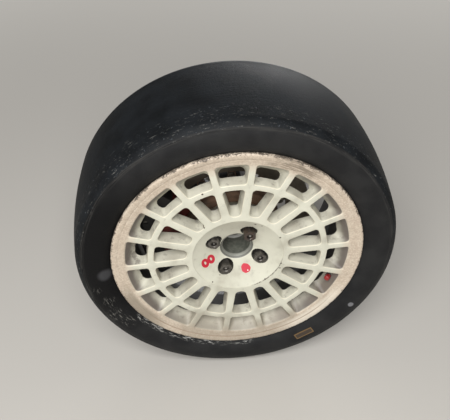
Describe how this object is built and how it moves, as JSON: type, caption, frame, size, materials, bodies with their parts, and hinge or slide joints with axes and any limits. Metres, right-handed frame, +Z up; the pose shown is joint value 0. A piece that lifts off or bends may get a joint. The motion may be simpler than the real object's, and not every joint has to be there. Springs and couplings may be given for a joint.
{
  "type": "rally car front wheel with its hub, brake and knuckle",
  "caption": "Left front wheel corner of a rally car: slick tyre on a windowed multi-spoke rim, with hub, vented disc, caliper and knuckle.",
  "frame": {"origin": "midway between the two strut bolts of the knuckle", "axes": "+Z up, +Y inboard along the wheel's axle, so the wheel's outer face looks along -Y, and -X towards the car's front"},
  "size_m": [0.6119, 0.26, 0.612],
  "materials": {
    "tyre_rubber": "worn, scuffed",
    "rim_paint": "worn ivory paint with chips",
    "nut_steel": "dark, lightly rusted",
    "valve_rubber": "matt",
    "red_cap": "moulded",
    "hub_steel": "dark, oiled",
    "rusty_iron": "surface rust",
    "disc_iron": "brushed by the pads, brown haze",
    "bolt_steel": "zinc plated",
    "joint_steel": "dark, greased",
    "ball_steel": "ground",
    "knuckle_iron": "sand cast, painted black",
    "caliper_red": "dusty red paint",
    "pad_lining": "moulded lining"
  },
  "bodies": {
    "upright": {"knuckle": "knuckle_iron", "bearing": "ball_steel", "caliper_outer": "caliper_red", "caliper_inner": "caliper_red", "pad_outer": "pad_lining", "pad_inner": "pad_lining", "pad_pins": "bolt_steel", "caliper_bolts": "bolt_steel"},
    "wheel": {"tyre": "tyre_rubber", "rim": "rim_paint", "wheel_nuts": "nut_steel", "wheel_studs": "nut_steel", "valve_stem": "valve_rubber", "valve_cap": "red_cap", "hub": "hub_steel", "hub_nut": "nut_steel", "disc_bell": "rusty_iron", "disc_ring": "disc_iron", "disc_bolts": "bolt_steel", "shaft_joint": "joint_steel", "joint_race": "joint_steel", "joint_balls": "ball_steel"}
  },
  "joints": [
    {"name": "wheel_spin", "type": "hinge", "parent": "upright", "child": "wheel", "pos_m": [0, -0.124, -0.148], "axis": [0, 1, 0], "continuous": true}
  ]
}
